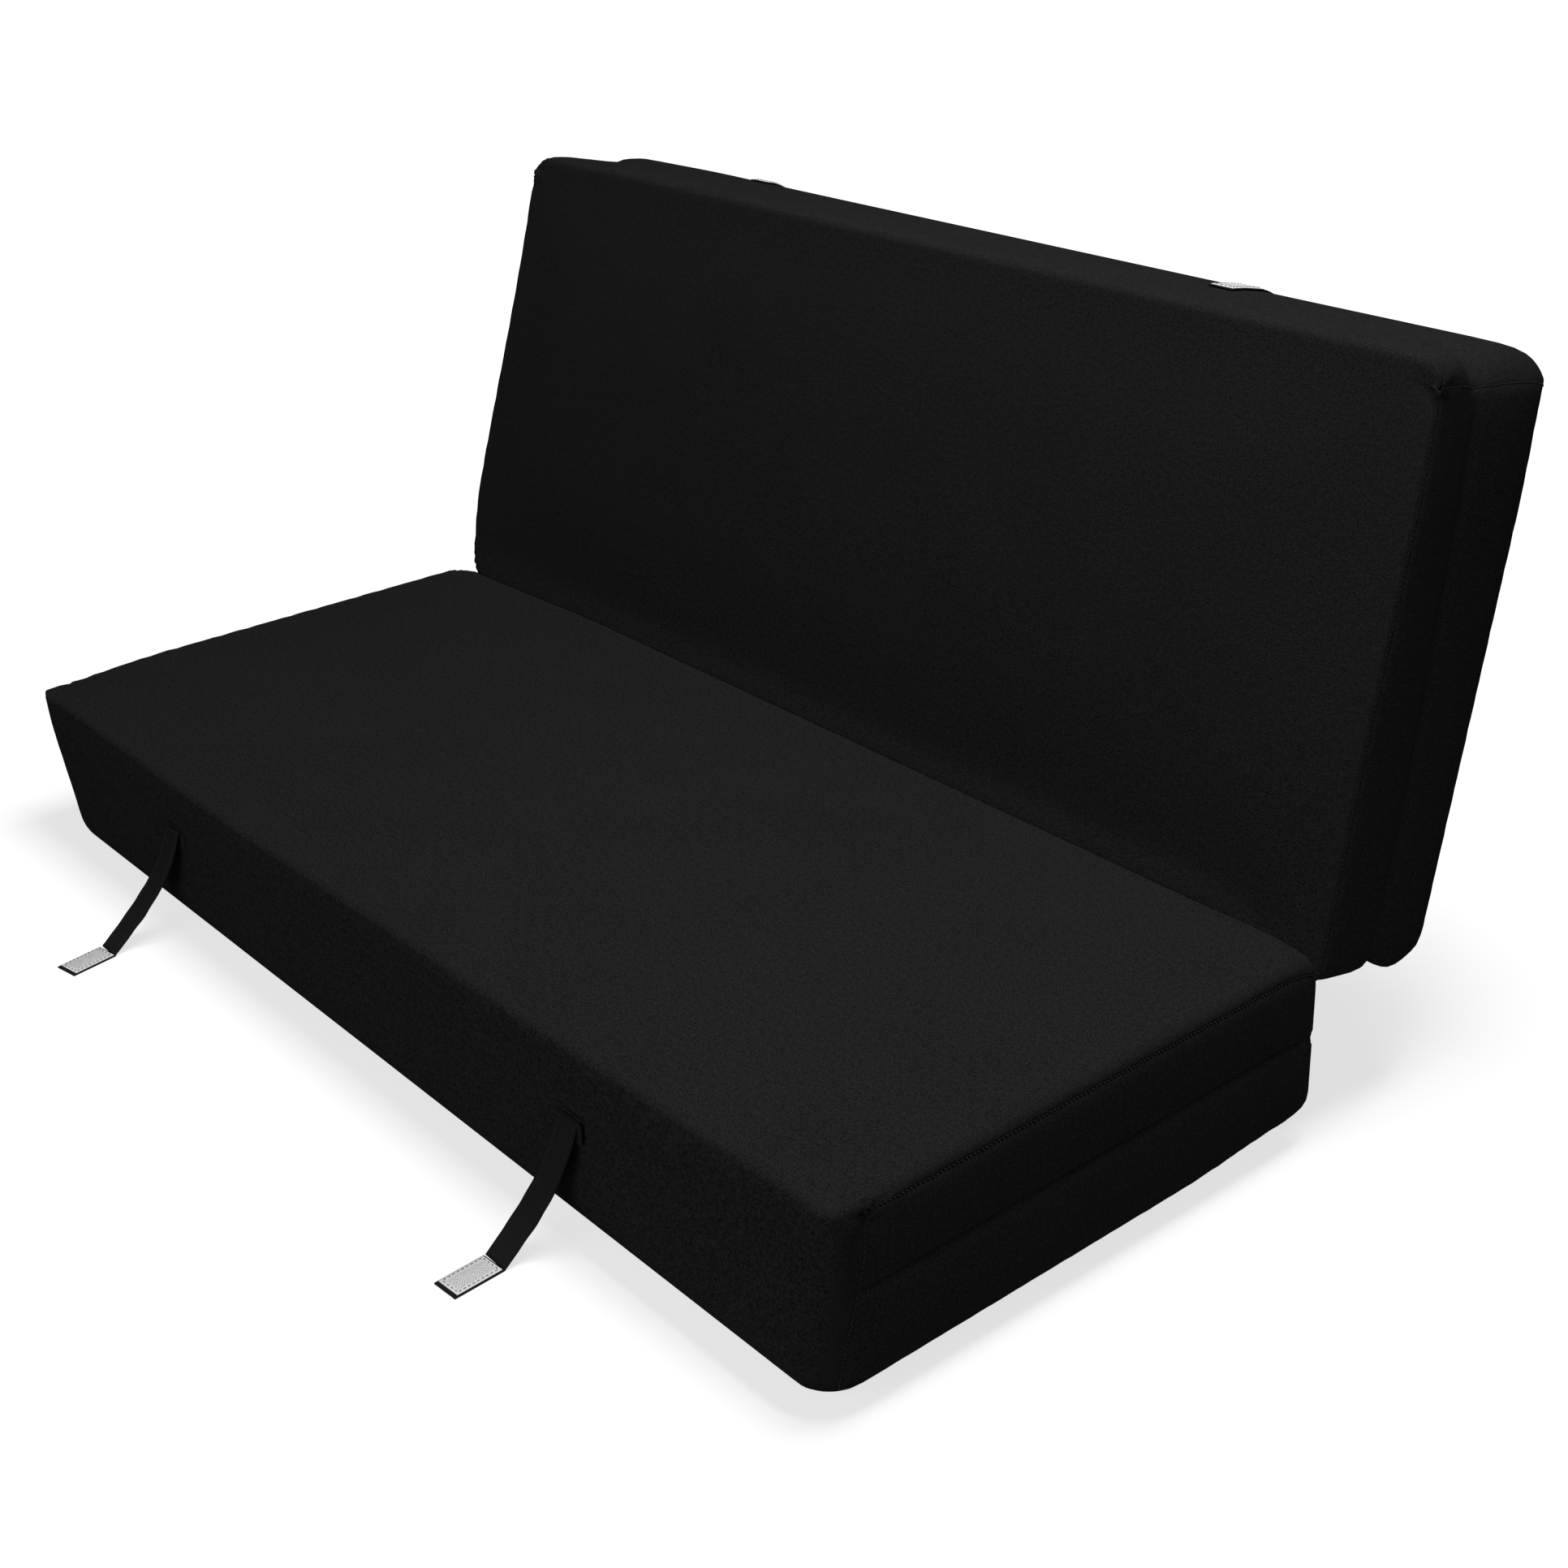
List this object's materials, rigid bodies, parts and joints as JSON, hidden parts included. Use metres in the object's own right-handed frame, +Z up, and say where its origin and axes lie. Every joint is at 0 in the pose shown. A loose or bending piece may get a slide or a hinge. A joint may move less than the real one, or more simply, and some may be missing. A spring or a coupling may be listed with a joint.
{
  "type": "futon mattress",
  "caption": "Folding futon mattress: two boxed foam cushions with zipped covers, hinged along one long edge, with hook-tape straps that tie it to a sofa-bed frame.",
  "frame": {"origin": "centre of the seat cushion's underside, on the surface that it lies on", "axes": "+X along the mattress's length, to the right seen from the front; +Y to the rear, towards the back cushion; +Z up"},
  "size_m": [1.4, 1.0256, 0.7314],
  "materials": {
    "cover_fabric": "tightly woven matt black upholstery cloth",
    "strap_fabric": "doubled black cloth strap with stitched edges",
    "hook_tape": "off-white nylon hook tape",
    "wadding": "white polyester quilt wadding",
    "comfort_foam": "soft open-cell foam",
    "base_foam": "firm open-cell foam",
    "zip_chain": "black nylon coil on woven tape",
    "zip_metal": "black enamelled zinc"
  },
  "bodies": {
    "seat": {"seat_wrap_panel": "cover_fabric", "seat_upper_boxing": "cover_fabric", "seat_lower_boxing": "cover_fabric", "seat_top_wadding": "wadding", "seat_comfort_foam": "comfort_foam", "seat_base_foam": "base_foam", "seat_base_wadding": "wadding", "seat_zip_chain": "zip_chain", "seat_fold_strip": "cover_fabric", "seat_strap_left_anchor": "strap_fabric", "seat_strap_right_anchor": "strap_fabric"},
    "back": {"back_wrap_panel": "cover_fabric", "back_upper_boxing": "cover_fabric", "back_lower_boxing": "cover_fabric", "back_top_wadding": "wadding", "back_comfort_foam": "comfort_foam", "back_base_foam": "base_foam", "back_base_wadding": "wadding", "back_zip_chain": "zip_chain", "back_fold_strip": "cover_fabric", "back_strap_left_anchor": "strap_fabric", "back_strap_right_anchor": "strap_fabric"},
    "seat_strap_left": {"seat_strap_left_webbing": "strap_fabric"},
    "seat_strap_left_tip": {"seat_strap_left_end": "strap_fabric", "seat_strap_left_hook_tape": "hook_tape"},
    "seat_strap_right": {"seat_strap_right_webbing": "strap_fabric"},
    "seat_strap_right_tip": {"seat_strap_right_end": "strap_fabric", "seat_strap_right_hook_tape": "hook_tape"},
    "back_strap_left": {"back_strap_left_webbing": "strap_fabric"},
    "back_strap_left_tip": {"back_strap_left_end": "strap_fabric", "back_strap_left_hook_tape": "hook_tape"},
    "back_strap_right": {"back_strap_right_webbing": "strap_fabric"},
    "back_strap_right_tip": {"back_strap_right_end": "strap_fabric", "back_strap_right_hook_tape": "hook_tape"},
    "seat_zip_slider": {"seat_zip_slider": "zip_metal"},
    "seat_zip_puller": {"seat_zip_puller": "zip_metal"},
    "back_zip_slider": {"back_zip_slider": "zip_metal"},
    "back_zip_puller": {"back_zip_puller": "zip_metal"}
  },
  "joints": [
    {"name": "fold", "type": "hinge", "parent": "seat", "child": "back", "pos_m": [0, 0.29615, 0.2005], "axis": [1, 0, 0], "range_deg": [-77, 103]},
    {"name": "seat_strap_left_swing", "type": "hinge", "parent": "seat", "child": "seat_strap_left", "pos_m": [-0.345, -0.2973, 0.134], "axis": [1, 0, 0], "range_deg": [-80, 15]},
    {"name": "seat_strap_left_tip_bend", "type": "hinge", "parent": "seat_strap_left", "child": "seat_strap_left_tip", "pos_m": [-0.39, -0.3638, 0.0017], "axis": [1, 0, 0], "range_deg": [-90, 38]},
    {"name": "seat_strap_right_swing", "type": "hinge", "parent": "seat", "child": "seat_strap_right", "pos_m": [0.38, -0.2973, 0.134], "axis": [1, 0, 0], "range_deg": [-80, 15]},
    {"name": "seat_strap_right_tip_bend", "type": "hinge", "parent": "seat_strap_right", "child": "seat_strap_right_tip", "pos_m": [0.335, -0.3638, 0.0017], "axis": [1, 0, 0], "range_deg": [-90, 38]},
    {"name": "back_strap_left_swing", "type": "hinge", "parent": "back", "child": "back_strap_left", "pos_m": [-0.345, 0.59111, 0.57725], "axis": [1, 0, 0], "range_deg": [-170, 0]},
    {"name": "back_strap_left_tip_bend", "type": "hinge", "parent": "back_strap_left", "child": "back_strap_left_tip", "pos_m": [-0.345, 0.57197, 0.70462], "axis": [1, 0, 0], "range_deg": [-100, 0]},
    {"name": "back_strap_right_swing", "type": "hinge", "parent": "back", "child": "back_strap_right", "pos_m": [0.38, 0.59111, 0.57725], "axis": [1, 0, 0], "range_deg": [-170, 0]},
    {"name": "back_strap_right_tip_bend", "type": "hinge", "parent": "back_strap_right", "child": "back_strap_right_tip", "pos_m": [0.38, 0.57197, 0.70462], "axis": [1, 0, 0], "range_deg": [-100, 0]},
    {"name": "seat_zip", "type": "slide", "parent": "seat", "child": "seat_zip_slider", "axis": [1, 0, 0], "range_m": [0, 1.27]},
    {"name": "seat_zip_puller_flip", "type": "hinge", "parent": "seat_zip_slider", "child": "seat_zip_puller", "pos_m": [-0.635, 0.2915, 0.12], "axis": [0, 0, 1], "range_deg": [0, 180]},
    {"name": "back_zip", "type": "slide", "parent": "back", "child": "back_zip_slider", "axis": [1, 0, 0], "range_m": [-1.27, 0]},
    {"name": "back_zip_puller_flip", "type": "hinge", "parent": "back_zip_slider", "child": "back_zip_puller", "pos_m": [0.635, 0.37563, 0.18692], "axis": [0, -0.9744, 0.225], "range_deg": [0, 180]}
  ]
}
